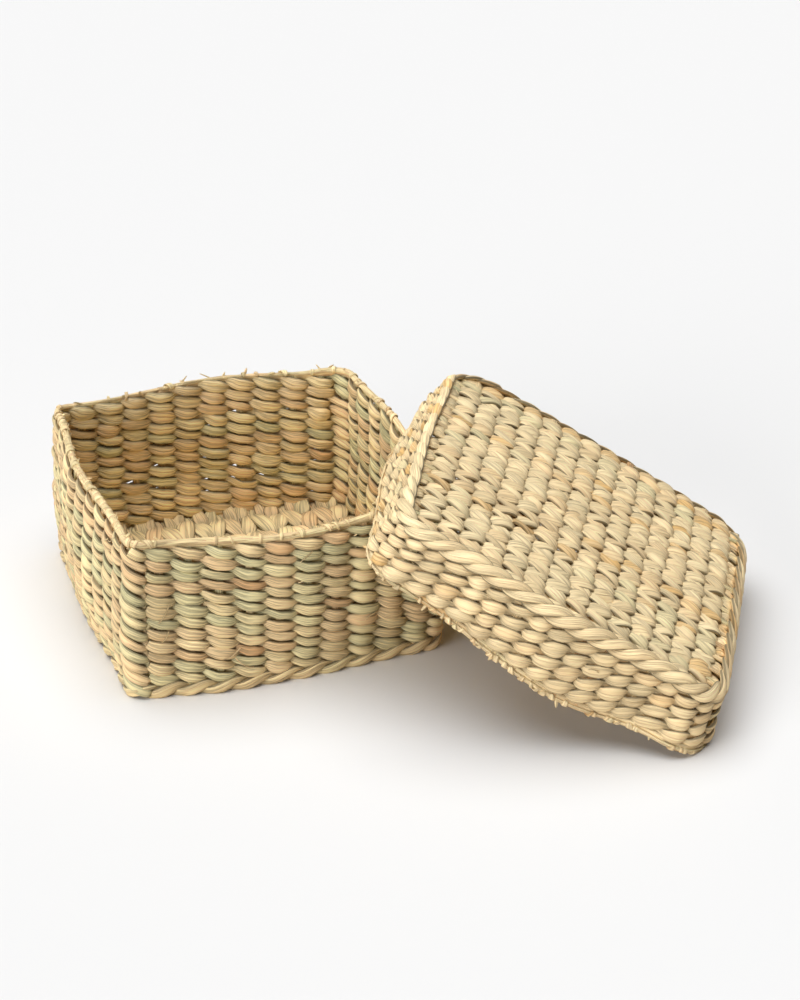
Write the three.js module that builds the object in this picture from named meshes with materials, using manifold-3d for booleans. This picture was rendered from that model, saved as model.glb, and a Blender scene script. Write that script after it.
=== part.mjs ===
// A square reed box: a twined base and its lift-off lid, which leans on one corner of the base.
// Both are twined trays. Flat stakes cross the mat and turn up inside the walls, and every course
// is a pair of weavers, one outside the stakes and one inside, that cross each other at the corners.
// Millimetres, +Z up. The origin is the middle of the base's underside.

import * as THREE from 'three';
import { mergeVertices } from 'three/addons/utils/BufferGeometryUtils.js';
import Module from 'manifold-3d';

const wasm = await Module();
wasm.setup();

// Reeds, alike in base and lid
const FIT_GAP = 0.3;
const STAKE_WIDTH = 5;
const CORNER_STAKE_WIDTH = 4;
const CROSSING_WIDTH = 3;
const SIDE_BAR_WIDTH = 8;
const CORNER_JOINT = 3;

// Base: its width outside across the belly at the corners, how far each side draws in from there to
// the foot and the top, and how far the right, back, left and front sides bow out between the corners
const BASE_WIDTH = 199;
const BASE_FOOT_DRAW = 3;
const BASE_TOP_DRAW = 2;
const BASE_BOWS = [5, 5, 5, 8];
const BASE_CORNER_RADIUS = 10;
const BASE_WEAVER = 3;
const BASE_STAKE = 1.8;
const BASE_TURN = 3.5;
const BASE_COURSES = 12;
const BASE_BELLY_COURSES = 4;
const BASE_COURSE_HEIGHT = 7;
const BASE_RIM_HEIGHT = 3.7;
const BASE_RIM_WIDTH = 6.4;
const BASE_SIDE_STAKES = 10;
const BASE_CORNER_STAKES = 1;

// Lid, with a skirt that widens towards its rim and the bows of its far, low, near and high sides. It
// slips over the base's corners, and the springy sides of both, which bow out while it is off, give way.
const LID_CLEARANCE = 0.5;
const LID_FLARE = 4.5;
const LID_BOWS = [3, 0, 8, 3];
const LID_CORNER_RADIUS = 22;
const LID_WEAVER = 2.4;
const LID_STAKE = 1.6;
const LID_TURN = 2.8;
const LID_COURSES = 4;
const LID_COURSE_HEIGHT = 7;
const LID_RIM_HEIGHT = 3.5;
const LID_RIM_WIDTH = 5.6;
const LID_SIDE_STAKES = 12;
const LID_CORNER_STAKES = 3;

// How the lid leans: its turn about the vertical, how far the base's corner reaches in under
// its edge, and how far its middle lies along that edge from the corner
const LID_YAW = THREE.MathUtils.degToRad(-27.9);
const LID_REACH = 40.7;
const LID_SHIFT = 15.6;

const CORNER_STEPS = 3;
const SIDES = 4;
const MITRE = Math.tan(Math.PI / 8);
const FACET = Math.PI / 2 / CORNER_STEPS;
const SHOULDER = 0.7;

// Faces of a mat. The base stands on its outer one, which is pressed flat.
const OUTER = -1;
const INNER = 1;

const STRAW = 0xd8c79a;
const PALE_STRAW = 0xe6d9b4;
const SAGE = 0xb3b088;
const TAN = 0xc9a878;
const STAKE_COLOUR = 0xcdb888;
const BASE_COLOURS = [STRAW, SAGE, TAN];
const LID_COLOURS = [PALE_STRAW, STRAW];

// A tray's levels, up from the outer face of its mat, and the half width of its walls' middle surface
function trayLayout(spec) {
  const slot = spec.stake / 2 + FIT_GAP;
  const wall = slot + spec.weaver;
  const wallStart = Math.max(2 * wall, wall + spec.turn + MITRE * spec.stake / 2 + FIT_GAP);
  const pitch = spec.courseHeight + FIT_GAP;
  const courseStart = (index) => wallStart + FIT_GAP + index * pitch;
  const rimStart = courseStart(spec.courses);
  return { ...spec, slot, wall, wallStart, courseStart, rimStart, height: rimStart + spec.rimHeight };
}

// Half widths outside at the corners, at levels between which the wall runs straight
function withProfile(layout, knots) {
  const halfAt = (z) => {
    const next = knots.findIndex((knot) => knot.z >= z);
    if (next <= 0) return knots[Math.max(next, 0)].half - layout.wall;
    const [low, high] = [knots[next - 1], knots[next]];
    const share = (z - low.z) / (high.z - low.z);
    return THREE.MathUtils.lerp(low.half, high.half, share) - layout.wall;
  };
  const straight = Math.min(...knots.map((knot) => halfAt(knot.z))) - layout.radius;
  const stakeEnd = straight - CROSSING_WIDTH - FIT_GAP;
  return { ...layout, knots, halfAt, foot: halfAt(0), straight, stakeEnd };
}

// The walls' half width outside, beside the corners
function cornerHalfAt(tray, z) {
  return tray.halfAt(z) + tray.wall;
}

function turned(x, y, z, side) {
  return new THREE.Vector3(x, y, z).applyAxisAngle(new THREE.Vector3(0, 0, 1), side * Math.PI / 2);
}

function bowAt(tray, half, along, side) {
  return tray.bows[side] * (1 - Math.abs(along) / (half - tray.radius));
}

// A point on the side that faces -Y, turned to another side
function sidePoint(tray, place, along, side) {
  const bow = bowAt(tray, place.half, along, side);
  return turned(along, -(place.half + place.out + bow), place.z, side);
}

// The wall's outline at one place: each side's bowed middle, and its corner in facets
function outline(tray, place) {
  const points = [];
  const centre = place.half - tray.radius;
  for (let side = 0; side < SIDES; side++) {
    points.push(sidePoint(tray, place, 0, side));
    for (let step = 0; step <= CORNER_STEPS; step++) {
      const angle = step * FACET - Math.PI / 2;
      const reach = tray.radius + place.out;
      points.push(turned(centre + reach * Math.cos(angle), reach * Math.sin(angle) - centre, place.z, side));
    }
  }
  return points;
}

// Skin over a row of sections with equally many points, closed into a ring or capped at its ends
function loft(sections, ring) {
  const count = sections[0].length;
  const triangles = [];
  const spans = ring ? sections.length : sections.length - 1;
  for (let i = 0; i < spans; i++) {
    const here = i * count;
    const next = ((i + 1) % sections.length) * count;
    for (let j = 0; j < count; j++) {
      const k = (j + 1) % count;
      triangles.push([here + j, here + k, next + k], [here + j, next + k, next + j]);
    }
  }
  const end = (sections.length - 1) * count;
  for (let j = 1; !ring && j < count - 1; j++) {
    triangles.push([0, j + 1, j], [end, end + j, end + j + 1]);
  }
  const points = sections.flat();
  const volume = triangles.reduce((sum, [a, b, c]) => sum + points[a].dot(points[b].clone().cross(points[c])), 0);
  const facing = volume > 0 ? triangles : triangles.map(([a, b, c]) => [a, c, b]);
  const geometry = new THREE.BufferGeometry().setFromPoints(points);
  geometry.setIndex(facing.flat());
  geometry.computeVertexNormals();
  return geometry;
}

function toSolid(geometry) {
  const bare = geometry.clone();
  bare.deleteAttribute('normal');
  bare.deleteAttribute('uv');
  const merged = mergeVertices(bare);
  const vertProperties = new Float32Array(merged.attributes.position.array);
  const triVerts = new Uint32Array(merged.index.array);
  return new wasm.Manifold(new wasm.Mesh({ numProp: 3, vertProperties, triVerts }));
}

function toGeometry(solid) {
  const { vertProperties, triVerts } = solid.getMesh();
  const geometry = new THREE.BufferGeometry();
  geometry.setAttribute('position', new THREE.BufferAttribute(vertProperties, 3));
  geometry.setIndex(new THREE.BufferAttribute(triVerts, 1));
  geometry.computeVertexNormals();
  return geometry;
}

function joined(geometries) {
  return toGeometry(geometries.map(toSolid).reduce((whole, solid) => whole.add(solid)));
}

function box(low, high) {
  const size = new THREE.Vector3().subVectors(high, low);
  const middle = new THREE.Vector3().addVectors(low, high).multiplyScalar(0.5);
  return new THREE.BoxGeometry(size.x, size.y, size.z).translate(middle.x, middle.y, middle.z);
}

function piece(name, geometry, colour) {
  const material = new THREE.MeshStandardMaterial({ color: colour, roughness: 0.75, metalness: 0 });
  const mesh = new THREE.Mesh(geometry, material);
  mesh.name = name;
  return mesh;
}

function numbered(name, index) {
  return `${name}_${String(index + 1).padStart(2, '0')}`;
}

// A band that runs round the wall, from its section of offsets and levels
function ring(tray, section) {
  const outlines = section.map(([out, z]) => outline(tray, { half: tray.halfAt(z), out, z }));
  return loft(outlines[0].map((_, k) => outlines.map((points) => points[k])), true);
}

// One weaver of a course: flat against the stakes and round on its free face
function weaverRing(tray, low, face) {
  const high = low + tray.courseHeight;
  const shoulder = face * (tray.slot + SHOULDER * tray.weaver);
  return ring(tray, [
    [face * tray.slot, low],
    [shoulder, low],
    [face * tray.wall, (low + high) / 2],
    [shoulder, high],
    [face * tray.slot, high],
  ]);
}

// Where the two weavers of a course cross, beside one corner
function crossing(tray, low, side) {
  const reach = tray.slot + tray.weaver / 2;
  const inset = tray.courseHeight / 4;
  const levels = [low + inset, low + tray.courseHeight - inset];
  const corners = [[-reach, levels[0]], [reach, levels[0]], [reach, levels[1]], [-reach, levels[1]]];
  const section = (along) =>
    corners.map(([out, z]) => sidePoint(tray, { half: tray.halfAt(z), out, z }, along, side));
  return loft([section(tray.straight - CROSSING_WIDTH), section(tray.straight)], false);
}

function course(tray, index) {
  const low = tray.courseStart(index);
  const crossings = Array.from({ length: SIDES }, (_, side) => crossing(tray, low, side));
  return joined([weaverRing(tray, low, 1), weaverRing(tray, low, -1), ...crossings]);
}

// The course that wraps the edge between mat and wall
function edgeCourse(tray) {
  const bend = (offset) => [
    [offset, tray.wall + tray.turn - offset * MITRE],
    [offset * MITRE - tray.turn, tray.wall - offset],
  ];
  return ring(tray, [
    [tray.wall, tray.wallStart],
    ...bend(tray.wall),
    ...bend(tray.slot).reverse(),
    [tray.slot, tray.wallStart],
  ]);
}

// The border of folded stake ends that closes the wall
function rim(tray) {
  const edge = tray.rimWidth / 2;
  return ring(tray, [
    [-edge, tray.rimStart],
    [edge, tray.rimStart],
    [edge, tray.height],
    [-edge, tray.height],
  ]);
}

// One face of a stake, from its end under the rim down the wall and round the turn into the mat
function stakeFace(tray, offset) {
  const top = tray.rimStart - FIT_GAP;
  const between = tray.knots.map((knot) => knot.z).filter((z) => z > tray.wallStart && z < top);
  const levels = [top, ...between.reverse(), tray.wallStart];
  const mitre = offset * MITRE;
  return [
    ...levels.map((z) => ({ half: tray.halfAt(z), out: offset, z })),
    { half: tray.foot, out: offset, z: tray.wall + tray.turn - mitre },
    { half: tray.foot, out: mitre - tray.turn, z: tray.wall - offset },
  ];
}

function stakeFaces(tray) {
  return [stakeFace(tray, tray.stake / 2), stakeFace(tray, -tray.stake / 2)];
}

// Sections of a stake on a side, from the rim to the mat
function sideSections(tray, faces, along, side) {
  const edges = [along - STAKE_WIDTH / 2, along + STAKE_WIDTH / 2];
  return faces[0].map((_, k) => [
    sidePoint(tray, faces[0][k], edges[0], side),
    sidePoint(tray, faces[0][k], edges[1], side),
    sidePoint(tray, faces[1][k], edges[1], side),
    sidePoint(tray, faces[1][k], edges[0], side),
  ]);
}

function stakePlaces(tray) {
  const last = tray.stakeEnd - STAKE_WIDTH / 2;
  const pitch = 2 * last / (tray.sideStakes - 1);
  return Array.from({ length: tray.sideStakes }, (_, index) => index * pitch - last);
}

// A stake that runs up one wall, across the mat and up the opposite wall
function throughStake(tray, along) {
  const near = sideSections(tray, stakeFaces(tray), along, 0);
  const far = sideSections(tray, stakeFaces(tray), -along, 2).map(([a, b, c, d]) => [b, a, d, c]);
  return loft([...near, ...far.reverse()], false);
}

// The mat's row ends on one side, turned up as that wall's stakes and held along the mat's edge
function sideStakes(tray, side) {
  const thick = tray.stake / 2;
  const barEnd = tray.foot - tray.turn;
  const tines = stakePlaces(tray).map((along) => {
    const inward = -tray.turn - SIDE_BAR_WIDTH / 2 - bowAt(tray, tray.foot, along, side);
    const faces = [thick, -thick].map((offset) => [
      ...stakeFace(tray, offset),
      { half: tray.foot, out: inward, z: tray.wall - offset },
    ]);
    return loft(sideSections(tray, faces, along, side), false);
  });
  const bar = box(
    new THREE.Vector3(-tray.stakeEnd, -barEnd, tray.wall - thick),
    new THREE.Vector3(tray.stakeEnd, SIDE_BAR_WIDTH - barEnd, tray.wall + thick),
  ).rotateZ(side * Math.PI / 2);
  return joined([bar, ...tines]);
}

// Stakes let in at one corner, which spread from a common foot inside the mat
function cornerStakes(tray, side) {
  const thick = tray.stake / 2;
  const faces = [thick, -thick].map((offset) => [
    ...stakeFace(tray, offset),
    { half: tray.foot, out: CORNER_JOINT - tray.radius, z: tray.wall - offset },
  ]);
  const firstFacet = (CORNER_STEPS - tray.cornerStakes) / 2;
  const tines = Array.from({ length: tray.cornerStakes }, (_, index) => {
    const angle = (firstFacet + index + 0.5) * FACET - Math.PI / 2;
    const point = (place, across) => {
      const centre = place.half - tray.radius;
      const reach = (tray.radius + place.out) * Math.cos(FACET / 2);
      const x = centre + reach * Math.cos(angle) - across * Math.sin(angle);
      const y = reach * Math.sin(angle) + across * Math.cos(angle) - centre;
      return turned(x, y, place.z, side);
    };
    const edge = CORNER_STAKE_WIDTH / 2;
    return loft(faces[0].map((_, k) => [
      point(faces[0][k], -edge),
      point(faces[0][k], edge),
      point(faces[1][k], edge),
      point(faces[1][k], -edge),
    ]), false);
  });
  return joined(tines);
}

// A valley between two ridges of the mat, on its outer or its inner face
function matValley(tray, from, to, face, beyond) {
  const level = (height) => tray.wall + face * height;
  const section = (y) => [
    new THREE.Vector3(from, y, level(2 * tray.wall)),
    new THREE.Vector3(from, y, level(tray.wall)),
    new THREE.Vector3((from + to) / 2, y, level(tray.slot)),
    new THREE.Vector3(to, y, level(tray.wall)),
    new THREE.Vector3(to, y, level(2 * tray.wall)),
  ];
  return toSolid(loft([section(-beyond), section(beyond)], false));
}

// The twined mat: on its ridged faces its rows rise over each stake that crosses it in a tunnel, and
// at its sides it has room for the row ends
function mat(tray) {
  const out = -tray.turn - tray.slot * MITRE - FIT_GAP;
  const plate = [0, 2 * tray.wall].map((z) => outline(tray, { half: tray.foot, out, z }));
  const beyond = tray.foot + Math.max(...tray.bows) + tray.wall;
  const layer = [tray.wall - tray.slot, tray.wall + tray.slot];
  const cut = (fromX, toX) =>
    toSolid(box(new THREE.Vector3(fromX, -beyond, layer[0]), new THREE.Vector3(toX, beyond, layer[1])));
  const halfTunnel = STAKE_WIDTH / 2 + FIT_GAP;
  const sideRoom = tray.straight - CROSSING_WIDTH;
  const places = stakePlaces(tray);
  const valleys = places.slice(1).flatMap((next, index) => tray.ridgedFaces.map((face) =>
    matValley(tray, places[index] + halfTunnel, next - halfTunnel, face, beyond)));
  const cuts = [
    cut(-beyond, -sideRoom),
    cut(sideRoom, beyond),
    ...places.map((along) => cut(along - halfTunnel, along + halfTunnel)),
    ...valleys,
  ];
  return toGeometry(cuts.reduce((whole, tool) => whole.subtract(tool), toSolid(loft(plate, false))));
}

function buildTray(tray) {
  const group = new THREE.Group();
  const colour = (index) => tray.colours[index % tray.colours.length];
  group.add(piece(`${tray.name}_${tray.matName}`, mat(tray), colour(0)));
  stakePlaces(tray).forEach((along, index) => {
    group.add(piece(numbered(`${tray.name}_stake`, index), throughStake(tray, along), STAKE_COLOUR));
  });
  tray.rowEndSides.forEach((sideName, index) => {
    const rowEnds = sideStakes(tray, 2 * index + 1);
    group.add(piece(`${tray.name}_${sideName}_side_stakes`, rowEnds, STAKE_COLOUR));
  });
  for (let side = 0; side < SIDES; side++) {
    group.add(piece(numbered(`${tray.name}_corner_stakes`, side), cornerStakes(tray, side), STAKE_COLOUR));
  }
  group.add(piece(`${tray.name}_${tray.edgeName}`, edgeCourse(tray), colour(1)));
  for (let index = 0; index < tray.courses; index++) {
    group.add(piece(numbered(`${tray.name}_course`, index), course(tray, index), colour(index)));
  }
  group.add(piece(`${tray.name}_rim`, rim(tray), colour(0)));
  return group;
}

const baseLayout = trayLayout({
  name: 'base',
  matName: 'floor_mat',
  edgeName: 'foot_course',
  rowEndSides: ['back', 'front'],
  ridgedFaces: [INNER],
  colours: BASE_COLOURS,
  weaver: BASE_WEAVER,
  stake: BASE_STAKE,
  turn: BASE_TURN,
  bows: BASE_BOWS,
  radius: BASE_CORNER_RADIUS,
  courses: BASE_COURSES,
  courseHeight: BASE_COURSE_HEIGHT,
  rimHeight: BASE_RIM_HEIGHT,
  rimWidth: BASE_RIM_WIDTH,
  sideStakes: BASE_SIDE_STAKES,
  cornerStakes: BASE_CORNER_STAKES,
});
const base = withProfile(baseLayout, [
  { z: 0, half: BASE_WIDTH / 2 - BASE_FOOT_DRAW },
  { z: baseLayout.wallStart, half: BASE_WIDTH / 2 - BASE_FOOT_DRAW },
  { z: baseLayout.courseStart(BASE_BELLY_COURSES) - FIT_GAP / 2, half: BASE_WIDTH / 2 },
  { z: baseLayout.height, half: BASE_WIDTH / 2 - BASE_TOP_DRAW },
]);

const lidLayout = trayLayout({
  name: 'lid',
  matName: 'top_mat',
  edgeName: 'edge_course',
  rowEndSides: ['right', 'left'],
  ridgedFaces: [OUTER, INNER],
  colours: LID_COLOURS,
  weaver: LID_WEAVER,
  stake: LID_STAKE,
  turn: LID_TURN,
  bows: LID_BOWS,
  radius: LID_CORNER_RADIUS,
  courses: LID_COURSES,
  courseHeight: LID_COURSE_HEIGHT,
  rimHeight: LID_RIM_HEIGHT,
  rimWidth: LID_RIM_WIDTH,
  sideStakes: LID_SIDE_STAKES,
  cornerStakes: LID_CORNER_STAKES,
});
// Closed, the lid's mat would lie on the base's rim and its rim would come down to this level
const closedRim = base.height + 2 * lidLayout.wall - lidLayout.height;
const overBase = (z) => cornerHalfAt(base, z) + LID_CLEARANCE + 2 * lidLayout.wall;
const lid = withProfile(lidLayout, [
  { z: 0, half: overBase(base.height) },
  { z: lidLayout.wallStart, half: overBase(base.height) },
  { z: lidLayout.height, half: overBase(closedRim) + LID_FLARE },
]);

// The lid leans with one rim edge on the floor and the opposite one across the base's front right corner
const rimHalf = lid.halfAt(lid.height);
const rimEdge = rimHalf + lid.rimWidth / 2;
const tilt = Math.asin((base.height + FIT_GAP) / (2 * rimHalf));
const cornerHalf = cornerHalfAt(base, base.height);
const lidMiddle = new THREE.Vector3(rimEdge * Math.cos(tilt) - LID_REACH, LID_SHIFT, 0)
  .applyAxisAngle(new THREE.Vector3(0, 0, 1), LID_YAW)
  .add(new THREE.Vector3(cornerHalf, -cornerHalf, rimEdge * Math.sin(tilt)));

// The base's through stakes run from left to right
const standingBase = buildTray(base);
standingBase.rotation.z = Math.PI / 2;

const upturnedLid = buildTray(lid);
upturnedLid.rotation.x = Math.PI;
upturnedLid.position.z = lid.height;
const leaningLid = new THREE.Group();
leaningLid.add(upturnedLid);
leaningLid.rotation.set(0, tilt, LID_YAW, 'ZYX');
leaningLid.position.copy(lidMiddle);

const reedBox = new THREE.Group();
reedBox.add(standingBase, leaningLid);

export default reedBox;
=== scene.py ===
"""Looks of a square twined reed box and its lift-off lid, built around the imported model.

Base and lid are twined trays. Each is worked out in millimetres in its own frame, where the outer face
of its mat is z = 0 and its walls rise along +Z, and is then placed in metres: the base as it stands, the
lid upturned and leaning on the base's corner. A place along the walls is counted in stakes. Side 0 of a
tray faces -Y in its own frame, and the others follow anticlockwise.
"""

import math
from types import SimpleNamespace

import bpy
import numpy as np
from mathutils import Matrix, Vector


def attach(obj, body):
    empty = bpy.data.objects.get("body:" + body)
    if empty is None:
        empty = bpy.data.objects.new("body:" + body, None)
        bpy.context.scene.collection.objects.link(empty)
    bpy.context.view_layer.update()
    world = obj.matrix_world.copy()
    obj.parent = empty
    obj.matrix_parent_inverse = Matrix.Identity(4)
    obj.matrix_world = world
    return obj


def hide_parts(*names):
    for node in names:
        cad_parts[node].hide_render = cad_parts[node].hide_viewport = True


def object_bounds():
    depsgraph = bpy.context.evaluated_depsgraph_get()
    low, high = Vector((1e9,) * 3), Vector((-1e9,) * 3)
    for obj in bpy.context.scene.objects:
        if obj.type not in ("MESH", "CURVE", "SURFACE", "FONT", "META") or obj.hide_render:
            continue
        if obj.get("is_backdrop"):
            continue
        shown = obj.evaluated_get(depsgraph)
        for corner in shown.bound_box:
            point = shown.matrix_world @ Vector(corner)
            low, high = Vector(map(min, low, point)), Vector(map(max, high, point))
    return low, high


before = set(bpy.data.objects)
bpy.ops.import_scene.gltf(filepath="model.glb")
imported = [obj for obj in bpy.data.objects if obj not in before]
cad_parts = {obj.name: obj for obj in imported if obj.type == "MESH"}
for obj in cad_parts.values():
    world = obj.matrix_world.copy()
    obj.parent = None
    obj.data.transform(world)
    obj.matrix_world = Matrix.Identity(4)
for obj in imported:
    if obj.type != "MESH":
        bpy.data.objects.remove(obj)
cad_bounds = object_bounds()

MM = 0.001
TINY = 1e-9
SEED = 7
UP = np.array([0.0, 0.0, 1.0])
DOWN = np.array([0.0, 0.0, -1.0])

# Sizes that the solids have
FIT_GAP = 0.3
STAKE_WIDTH = 5.0
CORNER_STAKE_WIDTH = 4.0
CROSSING_WIDTH = 3.0
MITRE = math.tan(math.pi / 8)
CORNER_FACETS = 3
BASE_FOOT_HALF = 96.5
BASE_BELLY_HALF = 99.5
BASE_TOP_HALF = 97.5
BELLY_COURSES = 4
LID_CLEARANCE = 0.5
LID_FLARE = 4.5
LID_RIM_WIDTH = 5.6
LID_YAW = math.radians(-27.9)
LID_REACH = 40.7
LID_SHIFT = 15.6

# How finely a reed is drawn: steps from stake to stake, points along a short reed, and points round it
WALL_STEPS = 12
WALL_ROUND = 16
MAT_STEPS = 9
MAT_ROUND = 12
EDGE_STEPS = 6
RIM_STEPS = 3
RIM_POINTS = 12
RIM_ROUND = 8
FIBRE_POINTS = 8
STAKE_ROUND = 8

# A reed's section: below 1, these powers make it squarer than an ellipse
SECTION_ACROSS = 0.72
SECTION_RISE = 0.8
REED_RADIUS = 3.5

# Share of the radius that keeps a thin strip's edges from the painted edge shade
PLAIN_EDGE = 0.75

# Length that sets a reed's fibres apart from those of the reed before it
FIBRE_SHIFT = 37.0

# Points of a wall's profile, and the length over which it is rounded off
PROFILE_POINTS = 200
SMOOTHED = 24.0

# Half the length, in stakes, of the step from each round of the courses to the next
SEAM_REACH = 0.6

# Sides whose stakes are the turned ends of the mat's rows
ROW_END_SIDES = (1, 3)

# Spread of the tones of reeds from one stem
TONE_SPREAD = 0.05


def dice(*names):
    """A source of chance that belongs to one piece, so that a change to another leaves it alone."""
    letters = "/".join(str(name) for name in names).encode()
    return np.random.default_rng([SEED, *letters])


def unit(vectors):
    return vectors / np.maximum(np.linalg.norm(vectors, axis=-1, keepdims=True), TINY)


def column(values):
    return np.asarray(values)[..., None]


def grown(least, share):
    """A value that grows from its least to 1 as a share goes from 0 to 1."""
    return least + (1 - least) * share


def make_tray(name, outside, **spec):
    """A tray's levels, its profile and the places of its stakes. outside gives levels and half widths."""
    tray = SimpleNamespace(name=name, **spec)
    tray.slot = tray.stake / 2 + FIT_GAP
    tray.wall = tray.slot + tray.weaver
    tray.wall_start = max(2 * tray.wall, tray.wall + tray.turn + MITRE * tray.stake / 2 + FIT_GAP)
    tray.pitch = tray.course_height + FIT_GAP
    tray.rim_start = tray.wall_start + FIT_GAP + tray.courses * tray.pitch
    tray.height = tray.rim_start + tray.rim_height
    levels, halves = outside(tray)
    halves = np.array(halves) - tray.wall
    tray.foot = halves[0]
    tray.levels = np.linspace(-SMOOTHED, tray.height + SMOOTHED, PROFILE_POINTS)
    step = tray.levels[1] - tray.levels[0]
    window = int(SMOOTHED / step) // 2 * 2 + 1
    padded = np.pad(np.interp(tray.levels, levels, halves), window // 2, mode="edge")
    tray.halves = np.convolve(padded, np.full(window, 1 / window), "valid")
    straight = halves.min() - tray.radius
    last = straight - CROSSING_WIDTH - FIT_GAP - STAKE_WIDTH / 2
    tray.places = np.linspace(-last, last, tray.side_stakes)
    tray.spacing = tray.places[1] - tray.places[0]
    facet = math.pi / 2 / CORNER_FACETS
    first = (CORNER_FACETS - tray.corner_stakes) / 2
    corners = [(first + index + 0.5) * facet for index in range(tray.corner_stakes)]
    tray.quarter = tray.side_stakes + tray.corner_stakes
    tray.count = 4 * tray.quarter
    tray.seam = tray.seam_side * tray.quarter + tray.side_stakes + (tray.corner_stakes - 1) / 2
    # Each stake's place along the outline, as a share of a side's straight half and a length beyond it
    tray.knots = np.arange(tray.quarter + 1)
    tray.shares = np.array([1.0] * tray.side_stakes + [2.0] * tray.corner_stakes + [3.0])
    beyond = [tray.radius * angle for angle in corners] + [tray.radius * math.pi / 2 + tray.places[0]]
    tray.lengths = np.concatenate([tray.places, beyond])
    tray.mat_half = tray.foot - tray.turn - tray.slot * MITRE - FIT_GAP
    tray.mat_radius = tray.radius - (tray.foot - tray.mat_half)
    return tray


# Waves of the hand-made walls: size at the rim, number round the tray, start, and turn from foot to rim
OUT_WAVES = ((0.9, 3, 1.3, 2.1), (0.6, 7, 4.0, -3.0))
UP_WAVES = ((0.5, 2, 0.4, 0.0), (0.4, 5, 2.0, 2.0))

# Powers that keep a mat's droop to its corners and its curl to its edges
DROOP_POWER = 3
CURL_POWER = 12


def wander(tray, place, high):
    """How far the hand-made wall strays at a place: outward, and up."""
    turn = 2 * math.pi * place / tray.count

    def waves(rows):
        return sum(size * np.sin(number * turn + start + shift * high)
                   for size, number, start, shift in rows)

    out = tray.stray * waves(OUT_WAVES) * high
    for where, reach, at_foot, at_rim in tray.pushes:
        push = at_foot * (1 - high) ** 2 + at_rim * high
        out = out + push * np.exp(-(((place - where) / reach) ** 2))
    up = tray.stray * (waves(UP_WAVES) + tray.lift) * high
    for where, reach, down in tray.dips:
        up = up - down * high * np.exp(-(((place - where) / reach) ** 2))
    return out, up


def sunk(tray, x, y, high):
    """How far the mat and the wall below it have sunk towards the rim near a corner."""
    inward = np.clip(np.minimum(np.abs(x), np.abs(y)) / tray.foot, 0, 1)
    return tray.droop * (1 - high) * inward**DROOP_POWER


def on_wall(tray, place, level, out=0.0):
    """Points off the walls' middle surface, and the outward normals there."""
    high = np.clip(level / tray.height, 0, 1)
    stray_out, stray_up = wander(tray, place, high)
    half = np.interp(level, tray.levels, tray.halves)
    middle = half - tray.radius
    # Length along the outline from the start of the side's straight part, with the corner after it
    side = np.floor(place / tray.quarter)
    knot = place - side * tray.quarter
    run = np.interp(knot, tray.knots, tray.shares) * middle + np.interp(knot, tray.knots, tray.lengths)
    length = 2 * middle + tray.radius * math.pi / 2
    side = side + (run >= length)
    run = np.where(run >= length, run - length, run)
    bend = np.clip((run - 2 * middle) / tray.radius, 0, math.pi / 2)
    along = np.clip(run - middle, -middle, middle)
    # A side's bow and extra height fade to nothing at its corners
    share = along / middle * math.pi / 2
    which = side.astype(int) % 4
    most = np.take(tray.foot_bows, which) * (1 - high) + np.take(tray.rim_bows, which) * high
    most = most + np.take(tray.swells, which) * 4 * high * (1 - high)
    bow = most * np.cos(share) ** 2
    slope = np.where(bend > 0, 0, -most * math.pi / 2 / middle * np.sin(2 * share))
    normal = unit(np.stack([np.sin(bend) - slope, -np.cos(bend)], -1))
    round_x = middle + tray.radius * np.sin(bend)
    round_y = -middle - tray.radius * np.cos(bend)
    plan = np.stack([np.where(bend > 0, round_x, along), np.where(bend > 0, round_y, -half - bow)], -1)
    taller = np.take(tray.taller, which) * high * np.cos(share) ** 2
    z = level + stray_up + taller + sunk(tray, plan[..., 0], plan[..., 1], high)
    plan = plan + normal * column(out + stray_out)
    cosine, sine = np.cos(side * math.pi / 2), np.sin(side * math.pi / 2)

    def turned(flat, z):
        x, y = flat[..., 0], flat[..., 1]
        return np.stack([cosine * x - sine * y, sine * x + cosine * y, z], -1)

    return turned(plan, z), turned(normal, np.zeros_like(half))


def on_mat(tray, x, y, out=0.0):
    """Points off the mat's middle surface, which follows the bows of the sides and curls up along them."""
    share_x = np.cos(np.clip(x / tray.foot, -1, 1) * math.pi / 2) ** 2
    share_y = np.cos(np.clip(y / tray.foot, -1, 1) * math.pi / 2) ** 2
    edge = np.maximum(np.abs(x), np.abs(y)) / tray.mat_half
    low_y, high_x, high_y, low_x = tray.foot_bows
    z = tray.wall + tray.dome * share_x * share_y + tray.curl * edge**CURL_POWER
    z = z + sunk(tray, x, y, 0.0) - out
    bowed_x = x + share_y * (x / tray.foot) ** 2 * np.where(x > 0, high_x, -low_x)
    bowed_y = y + share_x * (y / tray.foot) ** 2 * np.where(y > 0, high_y, -low_y)
    return np.stack(np.broadcast_arrays(bowed_x, bowed_y, z), -1)


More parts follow.
